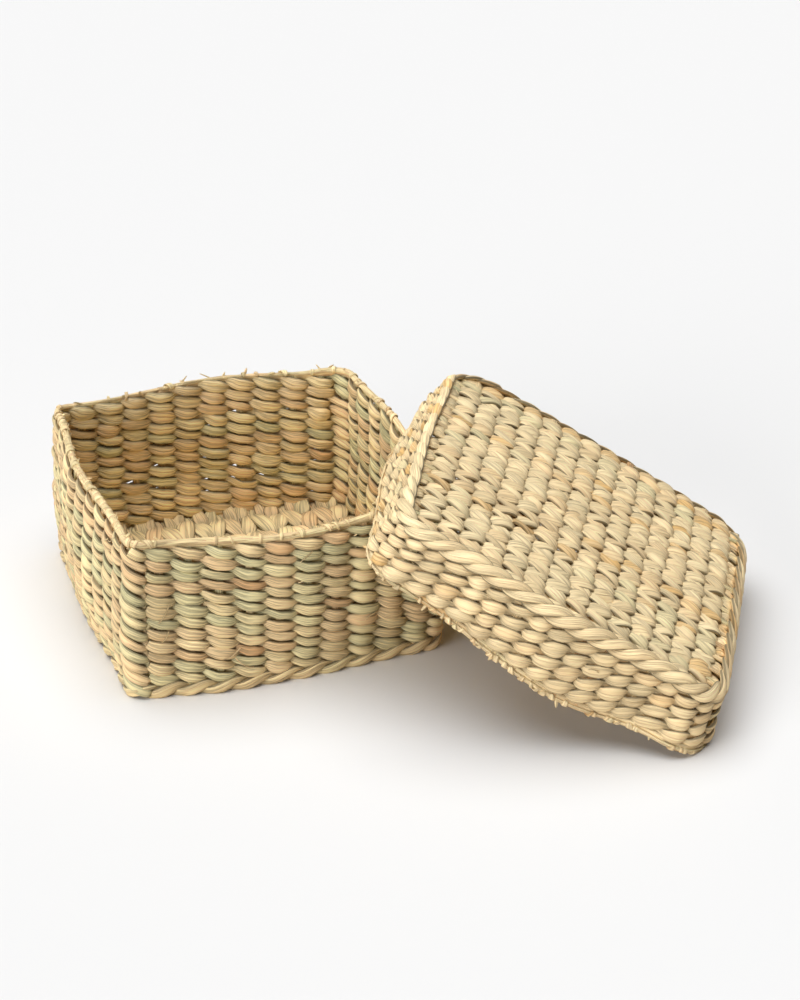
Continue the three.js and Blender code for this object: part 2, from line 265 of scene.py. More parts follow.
class Bundle:
    """The reeds of one piece, each swept along its own line."""

    def __init__(self, rounds, edge=1.0):
        self.rounds, self.edge = rounds, edge
        self.points, self.reed, self.look, self.faces = [], [], [], []
        self.size = 0

    def add(
        self, line, normal, width, up, down, tone,
        shade=0.5, middle=1.0, crease=0.0, closed=False, twist=0.0,
    ):
        """A reed along a line: half widths, thickness above and below it, and its colour along it.

        Its middle, from 0 at a crossing to 1 in a float's middle, sets painted shade at the crossings.
        """
        count = len(line)
        ahead = np.roll(line, -1, 0) - np.roll(line, 1, 0) if closed else np.gradient(line, axis=0)
        ahead = unit(ahead)
        lift = unit(normal - (normal * ahead).sum(-1, keepdims=True) * ahead)
        side = np.cross(lift, ahead)

        def full(value):
            return column(np.broadcast_to(np.asarray(value, float), (count,)))

        cosine, sine = np.cos(full(twist)), np.sin(full(twist))
        lift, side = cosine * lift + sine * side, cosine * side - sine * lift
        angle = 2 * math.pi * (np.arange(self.rounds) + 0.5) / self.rounds
        across = np.sign(np.cos(angle)) * np.abs(np.cos(angle)) ** SECTION_ACROSS
        rise = np.sign(np.sin(angle)) * np.abs(np.sin(angle)) ** SECTION_RISE
        thick = np.where(rise > 0, full(up), full(down)) * rise * (1 - crease)
        points = line[:, None] + side[:, None] * column(full(width) * across) + lift[:, None] * column(thick)
        length = np.concatenate([[0], np.cumsum(np.linalg.norm(np.diff(line, axis=0), axis=-1))])
        reed = np.empty_like(points)
        reed[..., 0] = column(length + FIBRE_SHIFT * len(self.points))
        # Across the reed, scaled by edge; the material paints shade where this nears the radius
        reed[..., 1] = REED_RADIUS * self.edge * np.cos(angle)
        reed[..., 2] = REED_RADIUS * np.sin(angle)
        look = np.empty_like(points)
        look[..., 0], look[..., 1], look[..., 2] = full(tone), full(shade), full(middle)
        spans = count if closed else count - 1
        here = np.arange(spans)[:, None] * self.rounds
        there = (np.arange(spans)[:, None] + 1) % count * self.rounds
        near = np.arange(self.rounds)[None]
        far = (near + 1) % self.rounds
        quads = np.stack([here + near, here + far, there + far, there + near], -1).reshape(-1, 4)
        self.faces.append(quads + self.size)
        self.points.append(points.reshape(-1, 3))
        self.reed.append(reed.reshape(-1, 3))
        self.look.append(look.reshape(-1, 3))
        if not closed:
            ends = [np.arange(self.rounds)[::-1], np.arange(self.rounds) + (count - 1) * self.rounds]
            for end in ends:
                rows = [[end[k], end[k + 1], end[-k - 2], end[-k - 1]] for k in range(self.rounds // 2 - 1)]
                self.faces.append(np.array(rows) + self.size)
        self.size += count * self.rounds


def drawn(bundle, node, body, material, place):
    """The Blender piece that shows a bundle in place of a node, pressed flat where it meets the floor."""
    points = np.concatenate(bundle.points) * MM
    faces = np.concatenate(bundle.faces)
    turn = np.array(place)
    points = points @ turn[:3, :3].T + turn[:3, 3]
    points[:, 2] = np.maximum(points[:, 2], 0)
    name = f"{node}_reeds"
    mesh = bpy.data.meshes.new(name)
    mesh.vertices.add(len(points))
    mesh.vertices.foreach_set("co", points.astype(np.float32).ravel())
    mesh.loops.add(faces.size)
    mesh.loops.foreach_set("vertex_index", faces.astype(np.int32).ravel())
    mesh.polygons.add(len(faces))
    mesh.polygons.foreach_set("loop_start", np.arange(0, faces.size, 4, dtype=np.int32))
    mesh.polygons.foreach_set("use_smooth", np.ones(len(faces), bool))
    for title, values in (("reed", bundle.reed), ("look", bundle.look)):
        layer = mesh.attributes.new(title, "FLOAT_VECTOR", "POINT")
        layer.data.foreach_set("vector", np.concatenate(values).astype(np.float32).ravel())
    mesh.update(calc_edges=True)
    mesh.materials.append(material)
    piece = bpy.data.objects.new(name, mesh)
    bpy.context.scene.collection.objects.link(piece)
    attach(piece, body)
    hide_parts(node)


# Floats of one stem, folds along each face of a reed, and the middle, spread and most of their strength
STEM_FLOATS = (3, 11)
FACE_FOLDS = 3
FOLD_STRENGTH = (0.6, 0.5)
FOLD_MOST = 1.4

# Crossings at the end of a round that are those of its start again
ROUND_OVERLAP = 3


def tones(chance, count, palette):
    """A tone for each float of a reed: one stem's tone for some way, then the next stem's."""
    values = np.empty(count)
    start = 0
    while start < count:
        stop = start + int(chance.integers(*STEM_FLOATS))
        values[start:stop] = chance.choice(palette)
        start = stop
    return values + chance.normal(0, TONE_SPREAD, count)


def tone_of(chance, palette):
    """One tone for the whole of a short reed."""
    return chance.choice(palette) + chance.normal(0, TONE_SPREAD)


def creases(chance, rounds, floats, depth):
    """Folds that run along a reed, deeper on some floats than on others."""
    crease = np.zeros((len(floats), rounds))
    count = int(floats.max()) + 1
    half = rounds // 2
    for face in (0, half):
        for _ in range(FACE_FOLDS):
            where = face + int(chance.integers(1, half - 1))
            strength = np.clip(chance.normal(*FOLD_STRENGTH, count), 0, FOLD_MOST)
            crease[:, where] += depth * strength[floats]
    return crease


def between(chance, place, spread):
    """Chance values at the crossings between stakes, run together along the reeds."""
    crossings = np.arange(math.floor(place.min()) - 1, math.ceil(place.max()) + 2) + 0.5
    values = chance.normal(0, spread, len(crossings))
    values[-ROUND_OVERLAP:] = values[:ROUND_OVERLAP]
    return np.interp(place, crossings, values)


# Twined reeds: limits of a float's share of width, spreads of its thickness and reach, the power that
# thins it towards its crossings, and the middle and spread of its shade
BROAD_LIMITS = (0.7, 1.4)
DEPTH_SPREAD = 0.14
OUT_SPREAD = 0.3
PLUMP_POWER = 0.8
FLOAT_SHADE = (0.5, 0.2)

# Share of a reed's thickness on each face, and how much more of it the face away from the stakes has
FACE_SHARE = 0.82
FACE_SWING = 0.18

# How nearly a mat's reeds run straight from one float to the next
STRAIGHTENED = 0.96

# Share of its width that a mat's row keeps at its ends, and the length, in stakes, over which it narrows
MAT_END = 0.5
END_TAPER = 0.3


def twined(bundle, chance, weave, place, frame_at, palette, lean, end):
    """Two reeds twisted round each other, one outside each stake and one inside it."""
    uneven = between(chance, place, weave.uneven)
    floats = np.floor(place + uneven + 0.5).astype(int)
    floats -= floats.min()
    count = floats.max() + 1

    def chances(middle, spread):
        return chance.normal(middle, spread, count)[floats]

    apart = np.minimum(place - place[0], place[-1] - place)
    ends = grown(end, np.clip(apart / END_TAPER, 0, 1))
    # Where the wall is stretched the reeds are broader, so that no gap opens
    above, below = (frame_at(place, np.full(len(place), side), 0.0)[0] for side in (1.0, -1.0))
    spread = np.linalg.norm(above - below, axis=-1) / 2
    for ply in range(2):
        phase = math.pi * (place + ply + uneven)
        swing = np.cos(phase)
        fill = np.abs(swing)
        sway = np.tanh(weave.snug * swing) / math.tanh(weave.snug)
        broad = np.clip(1 + chances(0, weave.vary), *BROAD_LIMITS)
        deep = 1 + chances(0, DEPTH_SPREAD)
        out = weave.reach * sway + chances(0, OUT_SPREAD) * fill * np.sign(swing)
        wave = np.sin(phase)
        if weave.straight:
            wave = np.arcsin(STRAIGHTENED * wave) / math.asin(STRAIGHTENED)
        else:
            wave = wave * np.abs(wave) ** weave.level
        rise = lean * weave.rise * wave + (chances(0, weave.stray) - weave.sag) * fill
        line, normal = frame_at(place, rise, out)
        width = (weave.pinch + (weave.width * broad - weave.pinch) * fill**weave.point) * ends * spread
        thick = (weave.thin + (weave.plump * deep - weave.thin) * fill**PLUMP_POWER) * ends
        up = thick * (FACE_SHARE + FACE_SWING * sway)
        down = thick * (FACE_SHARE - FACE_SWING * sway)
        tone = tones(chance, count, palette)[floats]
        shade = np.clip(chances(*FLOAT_SHADE), 0, 1)
        crease = creases(chance, bundle.rounds, floats, weave.crease)
        twist = chances(0, weave.twist) * fill
        # fill, given as middle, paints shade towards each crossing, where the reed dives between the stakes
        bundle.add(line, normal, width, up, down, tone, shade, fill, crease, twist=twist)


def course(tray, index):
    """A round of the walls' spiral, which steps down to the round below it at one corner."""
    bundle = Bundle(WALL_ROUND)
    chance = dice(tray.name, "course", index)
    level = tray.wall_start + FIT_GAP + index * tray.pitch + tray.course_height / 2
    # The last round starts half a stake early, because no round above it steps down to its start
    early = WALL_STEPS // 2 if index == tray.courses - 1 else 0
    place = tray.seam + 0.5 + np.arange(-early, tray.count * WALL_STEPS + 1) / WALL_STEPS

    def above(beyond):
        return np.clip(0.5 - beyond / (2 * SEAM_REACH), 0, 1)

    def frame_at(place, rise, out):
        step = above(place - tray.seam) + above(place - tray.seam - tray.count) - 1
        return on_wall(tray, place % tray.count, level + tray.pitch * step + rise, out)

    twined(bundle, chance, tray.weave, place, frame_at, tray.palette, tray.lean, 1.0)
    loose_fibres(tray, bundle, level, dice(tray.name, "loose", index))
    return bundle


# Loose fibres: limits of length, slope, bend and half width, thickness, and how far one rises off the
# floats in its middle and sinks between them at its ends
FIBRE_LONG = (5, 14)
FIBRE_SLOPE = 1.1
FIBRE_BEND = 2
FIBRE_WIDTH = (0.2, 0.45)
FIBRE_THICK = 0.2
FIBRE_LIFT = 0.6
FIBRE_SINK = 0.4


def loose_fibres(tray, bundle, level, chance):
    """A few fibres that have come away and lie across the floats outside."""
    sweep = np.linspace(0, 1, FIBRE_POINTS)
    arch = np.sin(math.pi * sweep)
    for _ in range(chance.poisson(tray.loose)):
        long = chance.uniform(*FIBRE_LONG)
        slope = chance.uniform(-FIBRE_SLOPE, FIBRE_SLOPE)
        start = chance.uniform(0, tray.count)
        bent = chance.uniform(-FIBRE_BEND, FIBRE_BEND)
        place = start + long * math.cos(slope) * sweep / tray.spacing
        high = level + long * math.sin(slope) * (sweep - 0.5) + bent * arch
        out = tray.weave.reach + tray.weave.plump + FIBRE_LIFT * arch - FIBRE_SINK
        line, normal = on_wall(tray, place % tray.count, high, out)
        width = chance.uniform(*FIBRE_WIDTH)
        tone = chance.choice(tray.mat_palette)
        bundle.add(line, normal, width, FIBRE_THICK, FIBRE_THICK, tone, shade=1.0)


def mat(tray):
    """Twined rows side by side, every second one leaning the other way."""
    bundle = Bundle(MAT_ROUND)
    chance = dice(tray.name, "mat")
    rows = round(2 * tray.mat_half / tray.mat_pitch)
    pitch = 2 * tray.mat_half / rows
    for row in range(rows):
        middle = (row + 0.5) * pitch - tray.mat_half
        beyond = max(abs(middle) - tray.mat_half + tray.mat_radius, 0)
        end = tray.mat_half - tray.mat_radius + math.sqrt(tray.mat_radius**2 - beyond**2) + tray.tuck
        first, last = (-end - tray.places[0]) / tray.spacing, (end - tray.places[0]) / tray.spacing
        place = np.linspace(first, last, int((last - first) * MAT_STEPS) + 1)

        def frame_at(place, rise, out, middle=middle):
            line = on_mat(tray, tray.places[0] + place * tray.spacing, middle + rise, out)
            return line, np.broadcast_to(DOWN, line.shape)

        lean = tray.lean if row % 2 else -tray.lean
        twined(bundle, chance, tray.mat_weave, place, frame_at, tray.mat_palette, lean, MAT_END)
    return bundle


# Power that eases a side's own value to nothing at its corners
SIDE_EASE = 0.5

# Edge course: spread and limits of its floats' shares of width, the power that tapers them, the middle and
# spread of their shade, and the least of their thickness and of their light, dimmed by painted shade, where
# they turn under
EDGE_VARY = 0.1
EDGE_LIMITS = (0.75, 1.3)
EDGE_POINT = 0.6
EDGE_SHADE = (0.6, 0.2)
EDGE_THIN = 0.6
EDGE_DIM = 0.3


def by_side(tray, place, values):
    """A value for each side of a tray, eased to nothing at the corners."""
    side = np.floor(place / tray.quarter).astype(int) % 4
    return np.take(values, side) * np.sin(math.pi * (place / tray.quarter % 1)) ** SIDE_EASE


def edge_course(tray):
    """Reeds laid like a rope round the edge between mat and wall."""
    bundle = Bundle(WALL_ROUND)
    chance = dice(tray.name, "edge")
    edge = tray.edge
    loops = edge.plies if tray.count % edge.plies == 0 else 1
    turns = edge.plies // loops
    place = np.arange(turns * tray.count * EDGE_STEPS) / EDGE_STEPS
    loose = 1 - by_side(tray, place, edge.calm)
    drop = by_side(tray, place, edge.drops)
    ahead, down = math.cos(edge.tip), math.sin(edge.tip)
    for loop in range(loops):
        phase = 2 * math.pi * (place + loop) / edge.plies
        floats = np.floor((place + loop) / edge.plies + 0.5).astype(int)
        floats = floats % math.ceil(turns * tray.count / edge.plies)
        count = floats.max() + 1
        fill = 0.5 + 0.5 * np.cos(phase)
        outward = edge.reach * loose * np.cos(phase)
        sideways = edge.lean * edge.rise * loose * np.sin(phase)
        out = edge.out + ahead * outward + down * sideways
        level = edge.level + drop + ahead * sideways - down * outward
        line, normal = on_wall(tray, place % tray.count, level, out)
        normal = unit(normal * ahead - UP * down)
        broad = np.clip(chance.normal(1, EDGE_VARY, count), *EDGE_LIMITS)[floats]
        width = edge.pinch + (edge.width * broad - edge.pinch) * fill**EDGE_POINT
        tone = tones(chance, count, tray.mat_palette)[floats]
        shade = np.clip(chance.normal(*EDGE_SHADE, count), 0, 1)[floats]
        crease = creases(chance, bundle.rounds, floats, tray.weave.crease)
        thick = edge.thick * grown(EDGE_THIN, fill)
        # grown(EDGE_DIM, fill), given as middle, paints shade where the plies turn under
        bundle.add(line, normal, width, thick, thick, tone, shade, grown(EDGE_DIM, fill), crease, True)
    return bundle


# Border: how far a fold or cut end lies off its step, in stakes, and the core's share of the radius and
# its shade
RIM_STRAY = 0.15
CORE_THICK = 0.7
CORE_SHADE = 0.4

# Strips along the border: limits of length, width, shade and step to the next, drift and stray in degrees,
# reach at the ends and more in the middle, where the ends are cut, the ends' power, and thickness
STRIP_LONG = (0.6, 1.4)
STRIP_BROAD = (0.75, 1.3)
STRIP_SHADE = (0.55, 1.0)
STRIP_LAP = (0.6, 0.8)
STRIP_DRIFT = 14
STRIP_STRAY = 5
STRIP_REACH = 0.8
STRIP_BULGE = 0.3
STRIP_CUT = (0.1, 0.9)
STRIP_POINT = 0.5
STRIP_THICK = 0.5

# Ends folded over the border: limits of the angles where they start and stop, of reach, half width and
# shade, slant in stakes, rise of the middle, least share of width, and thickness on the two faces
FOLD_START = (-60, -10)
FOLD_STOP = (150, 220)
FOLD_REACH = (1.0, 1.5)
FOLD_WIDTH = (0.9, 2.2)
FOLD_SHADE = (0.6, 1.0)
FOLD_SLANT = 0.3
FOLD_BULGE = 0.3
FOLD_LEAST = 0.6
FOLD_THICK = (0.5, 0.4)

# Cut ends: limits of length, bend, half width and shade, the length that slants by a stake, the share of
# the border's radius where they start, rise and splay along them, taper, and thickness on the two faces
CUT_LONG = (2.5, 6)
CUT_BEND = (-0.1, 0.4)
CUT_WIDTH = (0.4, 1.2)
CUT_SHADE = (0.7, 1)
CUT_SLANT = 14
CUT_START = 0.5
CUT_RISE = 0.6
CUT_SPLAY = 0.35
CUT_SPLAY_POWER = 1.5
CUT_TAPER = 0.6
CUT_TAPER_POWER = 3
CUT_THICK = (0.35, 0.3)


def on_rim(tray, place, high, out=0.0):
    """Points above and outward of the border's middle, and the outward normals there."""
    level = tray.height - tray.border.round + high - by_side(tray, place, tray.border.lower)
    return on_wall(tray, place % tray.count, level, out)


def round_rim(tray, place, turn, reach):
    """Points at an angle round the border and a distance from its middle, and the normals away from it."""
    line, normal = on_rim(tray, place, reach * np.sin(turn), reach * np.cos(turn))
    return line, unit(normal * column(np.cos(turn)) + UP * column(np.sin(turn)))


def rim_places(tray, chance, shares):
    """Places along the border, of which chance keeps each side's share."""
    for step in range(RIM_STEPS * tray.count):
        place = step / RIM_STEPS + chance.uniform(-RIM_STRAY, RIM_STRAY)
        if chance.random() <= shares[int(place // tray.quarter) % 4]:
            yield place


def rim_core(tray, bundle, chance):
    border = tray.border
    place = np.arange(RIM_STEPS * tray.count) / RIM_STEPS
    line, normal = on_rim(tray, place, np.full(len(place), -border.core / 2))
    tone = tones(chance, len(place), tray.mat_palette)
    thick = border.round * CORE_THICK * (1 - by_side(tray, place, border.slim))
    bundle.add(line, normal, border.core, thick, thick, tone, CORE_SHADE, closed=True)


def rim_strips(tray, bundle, chance):
    """Strips laid along the border, in lanes at several angles round it."""
    border = tray.border
    sweep = np.linspace(0, 1, RIM_POINTS)
    bulge = STRIP_REACH + STRIP_BULGE * np.sin(math.pi * sweep)
    ends = np.sin(math.pi * np.clip(sweep, *STRIP_CUT)) ** STRIP_POINT
    for lane in border.lanes:
        start = chance.uniform(0, 1)
        while start < tray.count:
            long = border.long * chance.uniform(*STRIP_LONG)
            drift = chance.normal(0, STRIP_DRIFT) * (sweep - 0.5)
            turn = np.radians(lane + drift + chance.normal(0, STRIP_STRAY))
            along = (start + long * sweep) % tray.count
            reach = border.round * bulge * (1 - by_side(tray, along, border.slim))
            line, normal = round_rim(tray, along, turn, reach)
            width = border.strip * chance.uniform(*STRIP_BROAD) * ends
            tone = tone_of(chance, tray.mat_palette)
            shade = chance.uniform(*STRIP_SHADE)
            bundle.add(line, normal, width, STRIP_THICK, STRIP_THICK, tone, shade)
            start += long * chance.uniform(*STRIP_LAP)


def rim_folds(tray, bundle, chance):
    """Stake ends folded over the border."""
    sweep = np.linspace(0, 1, RIM_POINTS)
    arch = np.sin(math.pi * sweep)
    for place in rim_places(tray, chance, tray.border.fold):
        start, stop = chance.uniform(*FOLD_START), chance.uniform(*FOLD_STOP)
        turn = np.radians(np.linspace(start, stop, RIM_POINTS))
        reach = tray.border.round * chance.uniform(*FOLD_REACH) + FOLD_BULGE * arch
        along = place + chance.uniform(-FOLD_SLANT, FOLD_SLANT) * (sweep - 0.5)
        line, normal = round_rim(tray, along, turn, reach)
        width = chance.uniform(*FOLD_WIDTH) * grown(FOLD_LEAST, arch)
        tone = tone_of(chance, tray.mat_palette)
        bundle.add(line, normal, width, *FOLD_THICK, tone, chance.uniform(*FOLD_SHADE))


def rim_cuts(tray, bundle, chance):
    """Cut ends that stand off the border inside and outside."""
    sweep = np.linspace(0, 1, RIM_POINTS)
    start = CUT_START * tray.border.round
    taper = 1 - CUT_TAPER * sweep**CUT_TAPER_POWER
    for place in rim_places(tray, chance, tray.border.cut):
        face = chance.choice([-1, 1])
        length = chance.uniform(*CUT_LONG)
        along = place + chance.uniform(-1, 1) * length * sweep / CUT_SLANT
        bent = chance.uniform(*CUT_BEND)
        high = start + length * (CUT_RISE * sweep - bent * sweep**2)
        out = face * (start + length * CUT_SPLAY * sweep**CUT_SPLAY_POWER)
        line, normal = on_rim(tray, along, high, out)
        width = chance.uniform(*CUT_WIDTH) * taper
        tone = chance.choice(tray.mat_palette)
        bundle.add(line, normal * face, width, *CUT_THICK, tone, chance.uniform(*CUT_SHADE))


def rim(tray):
    """The border of folded stake ends."""
    bundle = Bundle(RIM_ROUND, PLAIN_EDGE)
    chance = dice(tray.name, "rim")
    for lay in (rim_core, rim_strips, rim_folds, rim_cuts):
        lay(tray, bundle, chance)
    return bundle


# Stakes: how far they reach into the rim, the step between their points, the angles of their turn into the
# mat, the points beyond it, the points from edge to edge of a mat, how far each kind goes on into the mat
# or stops short of a corner's middle, the spread of their width, the limits of shade, and the light they
# keep from the crossings' painted shade
STAKE_TOP = 1.0
STAKE_STEP = 5
STAKE_TURN = np.radians([30.0, 60.0, 90.0])
STAKE_END_POINTS = 3
STAKE_MAT_POINTS = 14
THROUGH_INWARD = 3
SIDE_INWARD = 10
CORNER_SHORT = 2
STAKE_VARY = 0.06
STAKE_SHADE = (0.3, 0.6)
STAKE_LIGHT = 0.6


def stake_line(tray, place, inward):
    """A stake's line from under the rim down the wall and round the turn into the mat."""
    top, foot = tray.rim_start + STAKE_TOP, tray.wall + tray.turn
    level = np.linspace(top, foot, int((top - foot) / STAKE_STEP) + 2)
    line, normal = on_wall(tray, np.full(len(level), float(place)), level)
    drop = tray.turn * np.sin(STAKE_TURN)
    back = tray.turn * (1 - np.cos(STAKE_TURN))
    bend = line[-1] - normal[-1] * column(back) - UP * column(drop)
    bend_normal = normal[-1] * column(np.cos(STAKE_TURN)) - UP * column(np.sin(STAKE_TURN))
    end = bend[-1] - normal[-1] * column(np.linspace(0, inward, STAKE_END_POINTS + 1)[1:])
    end_normal = np.broadcast_to(DOWN, end.shape)
    return np.concatenate([line, bend, end]), np.concatenate([normal, bend_normal, end_normal])


def stake_reed(tray, bundle, chance, line, normal, width):
    tone = tone_of(chance, tray.palette)
    half_width = width / 2 * (1 + chance.normal(0, STAKE_VARY, len(line)))
    shade = chance.uniform(*STAKE_SHADE)
    # STAKE_LIGHT, given as middle, darkens stakes with part of the crossings' painted shade
    bundle.add(line, normal, half_width, tray.stake / 2, tray.stake / 2, tone, shade, STAKE_LIGHT)


def through_stake(tray, index):
    """A stake that runs down one wall, across the mat and up the opposite wall."""
    bundle = Bundle(STAKE_ROUND, PLAIN_EDGE)
    chance = dice(tray.name, "stake", index)
    opposite = 2 * tray.quarter + tray.side_stakes - 1 - index
    near, near_normal = stake_line(tray, index, THROUGH_INWARD)
    far, far_normal = stake_line(tray, opposite, THROUGH_INWARD)
    y = np.linspace(-tray.mat_half, tray.mat_half, STAKE_MAT_POINTS)[1:-1]
    middle = on_mat(tray, np.full(len(y), tray.places[index]), y)
    flat = np.broadcast_to(DOWN, middle.shape)
    line = np.concatenate([near, middle, far[::-1]])
    normal = np.concatenate([near_normal, flat, far_normal[::-1]])
    stake_reed(tray, bundle, chance, line, normal, STAKE_WIDTH)
    return bundle


def side_stakes(tray, side):
    """The turned row ends that are the stakes of one of the other two walls."""
    bundle = Bundle(STAKE_ROUND, PLAIN_EDGE)
    chance = dice(tray.name, "side", side)
    for index in range(tray.side_stakes):
        line, normal = stake_line(tray, side * tray.quarter + index, SIDE_INWARD)
        stake_reed(tray, bundle, chance, line, normal, STAKE_WIDTH)
    return bundle


def corner_stakes(tray, side):
    """The stakes let in at the corner after a side."""
    bundle = Bundle(STAKE_ROUND, PLAIN_EDGE)
    chance = dice(tray.name, "corner", side)
    for index in range(tray.corner_stakes):
        place = side * tray.quarter + tray.side_stakes + index
        line, normal = stake_line(tray, place, tray.radius - tray.turn - CORNER_SHORT)
        stake_reed(tray, bundle, chance, line, normal, CORNER_STAKE_WIDTH)
    return bundle


def srgb(red, green, blue):
    """A colour that is written as it looks on a screen, from 0 to 255, as Blender's linear one."""
    share = np.array([red, green, blue]) / 255
    linear = np.where(share <= 0.04045, share / 12.92, ((share + 0.055) / 1.055) ** 2.4)
    return (*linear.tolist(), 1.0)


# Fibres of a reed: their noise's scale along and across it, per millimetre, and its detail
FINE_FIBRES = ((0.04, 1.7, 1.7), 3.0)
BROAD_FIBRES = ((0.02, 0.6, 0.6), 1.0)
BLOTCHES = ((0.09, 0.25, 0.25), 2.0)
FIBRE_ROUGHNESS = 0.6

# How much tone the broad fibres shift, and how much light each effect adds or takes; the crossing and float
# lights paint shade where a reed dives between the stakes
TINT_DEPTH = 0.3
REED_LIGHT = 1.15
SHADE_DEPTH = 0.3
FINE_DEPTH = 1.0
BLOTCH_DEPTH = 0.3
CROSSING_LIGHT = 0.74
FLOAT_LIGHT = 0.28

# Folds: how narrow they are, the light between them, and how much painted shade they take on base and lid
FOLD_NARROW = 14.0
FOLD_LIGHT = 1.02
BASE_PAINTED_FOLD_SHADE = 0.4
LID_PAINTED_FOLD_SHADE = 0.22

# Share of a reed's radius that is its edge, and how much light the painted shade there takes,
# where a reed rolls away into the gaps between floats
EDGE_SHARE = 0.26
EDGE_PAINTED_SHADE = 0.7

# Gloss and relief
REED_ROUGHNESS = 0.45
FIBRE_MATT = 0.25
REED_SPECULAR = 0.5
BUMP_FOLD = 0.9
BUMP_STRENGTH = 0.8
BUMP_DISTANCE = 0.0006


def reed_material(name, stops, fold_shade_depth):
    """Dried reed: stems of several tones and fine fibres along each.

    It paints shade in its folds, along its edges and at its crossings.
    """
    material = bpy.data.materials.new(name)
    material.use_nodes = True
    nodes, links = material.node_tree.nodes, material.node_tree.links
    shader = nodes["Principled BSDF"]

    def math_node(operation, *values):
        made = nodes.new("ShaderNodeMath")
        made.operation = operation
        for socket, value in zip(made.inputs, values):
            if isinstance(value, (int, float)):
                socket.default_value = value
            else:
                links.new(value, socket)
        return made.outputs[0]

    def around(value, depth, level):
        """A level that a value from 0 to 1 lowers and raises by half a depth."""
        return math_node("MULTIPLY_ADD", math_node("SUBTRACT", value, 0.5), depth, level)

    def attribute(title):
        made = nodes.new("ShaderNodeAttribute")
        made.attribute_name = title
        return made.outputs["Vector"]

    def parts(vector):
        made = nodes.new("ShaderNodeSeparateXYZ")
        links.new(vector, made.inputs[0])
        return made.outputs

    # look holds a reed's tone, its random shade, and middle, which sets painted shade at the crossings
    tone, shade, middle = parts(attribute("look"))
    reed = attribute("reed")

    def fibres(scale, detail):
        mapping = nodes.new("ShaderNodeMapping")
        mapping.inputs["Scale"].default_value = scale
        links.new(reed, mapping.inputs["Vector"])
        noise = nodes.new("ShaderNodeTexNoise")
        noise.inputs["Scale"].default_value = 1.0
        noise.inputs["Detail"].default_value = detail
        noise.inputs["Roughness"].default_value = FIBRE_ROUGHNESS
        links.new(mapping.outputs[0], noise.inputs["Vector"])
        return noise.outputs[0]

    fine = fibres(*FINE_FIBRES)
    broad = fibres(*BROAD_FIBRES)
    blotch = fibres(*BLOTCHES)
    apart = math_node("ABSOLUTE", math_node("SUBTRACT", broad, 0.5))
    fold = math_node("MINIMUM", math_node("MULTIPLY", apart, FOLD_NARROW), 1.0)
    ramp = nodes.new("ShaderNodeValToRGB")
    elements = ramp.color_ramp.elements
    while len(elements) < len(stops):
        elements.new(0.5)
    for element, (position, colour) in zip(elements, stops):
        element.position = position
        element.color = srgb(*colour)
    links.new(around(broad, TINT_DEPTH, tone), ramp.inputs[0])

    light = around(shade, SHADE_DEPTH, REED_LIGHT)
    light = around(fine, FINE_DEPTH, light)
    light = around(blotch, BLOTCH_DEPTH, light)
    # Painted shade at the crossings, where a reed dives between the stakes
    light = math_node("MULTIPLY", light, math_node("MULTIPLY_ADD", middle, FLOAT_LIGHT, CROSSING_LIGHT))
    # Painted shade in fold lines, which the broad fibres also give to the bump as relief
    folded = math_node("MULTIPLY_ADD", fold, fold_shade_depth, FOLD_LIGHT - fold_shade_depth)
    light = math_node("MULTIPLY", light, folded)
    # Painted shade along a reed's edges, where it rolls away into the gaps between floats
    outer = math_node("ABSOLUTE", parts(reed)[1])
    outer = math_node("MULTIPLY_ADD", outer, 1 / (EDGE_SHARE * REED_RADIUS), (EDGE_SHARE - 1) / EDGE_SHARE)
    outer = math_node("MINIMUM", math_node("MAXIMUM", outer, 0.0), 1.0)
    light = math_node("MULTIPLY", light, math_node("MULTIPLY_ADD", outer, -EDGE_PAINTED_SHADE, 1.0))
    scale = nodes.new("ShaderNodeVectorMath")
    scale.operation = "SCALE"
    links.new(ramp.outputs[0], scale.inputs[0])
    links.new(light, scale.inputs["Scale"])
    links.new(scale.outputs[0], shader.inputs["Base Color"])

    rough = math_node("MULTIPLY_ADD", fine, FIBRE_MATT, REED_ROUGHNESS)
    links.new(rough, shader.inputs["Roughness"])
    shader.inputs["Specular IOR Level"].default_value = REED_SPECULAR
    bump = nodes.new("ShaderNodeBump")
    bump.inputs["Strength"].default_value = BUMP_STRENGTH
    bump.inputs["Distance"].default_value = BUMP_DISTANCE
    links.new(math_node("MULTIPLY_ADD", fold, BUMP_FOLD, fine), bump.inputs["Height"])
    links.new(bump.outputs[0], shader.inputs["Normal"])
    return material


BASE_STOPS = [
    (0.00, (226, 176, 122)),
    (0.16, (242, 207, 156)),
    (0.34, (250, 220, 169)),
    (0.62, (250, 228, 174)),
    (0.82, (240, 226, 174)),
    (1.00, (222, 214, 166)),
]
LID_STOPS = [
    (0.00, (234, 192, 126)),
    (0.20, (246, 216, 166)),
    (0.50, (248, 223, 174)),
    (0.80, (247, 225, 178)),
    (1.00, (238, 221, 172)),
]
base_reed = reed_material("base_reed_look", BASE_STOPS, BASE_PAINTED_FOLD_SHADE)
lid_reed = reed_material("lid_reed_look", LID_STOPS, LID_PAINTED_FOLD_SHADE)
stake_reed_look = reed_material("stake_reed_look", BASE_STOPS, BASE_PAINTED_FOLD_SHADE)

# Tones along the stops: brown, tan, straw and grey-green stems, as often as each is found
WALL_TONES = [0.17, 0.22, 0.26, 0.3, 0.36, 0.4, 0.46, 0.5, 0.55, 0.6, 0.64, 0.72, 0.8, 0.86, 0.92, 1.0]
PALE_TONES = [0.3, 0.38, 0.42, 0.48, 0.52, 0.55, 0.6, 0.66]
LID_TONES = [0.08, 0.25, 0.3, 0.4, 0.45, 0.5, 0.5, 0.55, 0.6, 0.65, 0.7, 0.75, 0.95]


def base_outside(tray):
    belly = tray.wall_start + FIT_GAP / 2 + BELLY_COURSES * tray.pitch
    levels = [0, tray.wall_start, belly, tray.height]
    return levels, [BASE_FOOT_HALF, BASE_FOOT_HALF, BASE_BELLY_HALF, BASE_TOP_HALF]


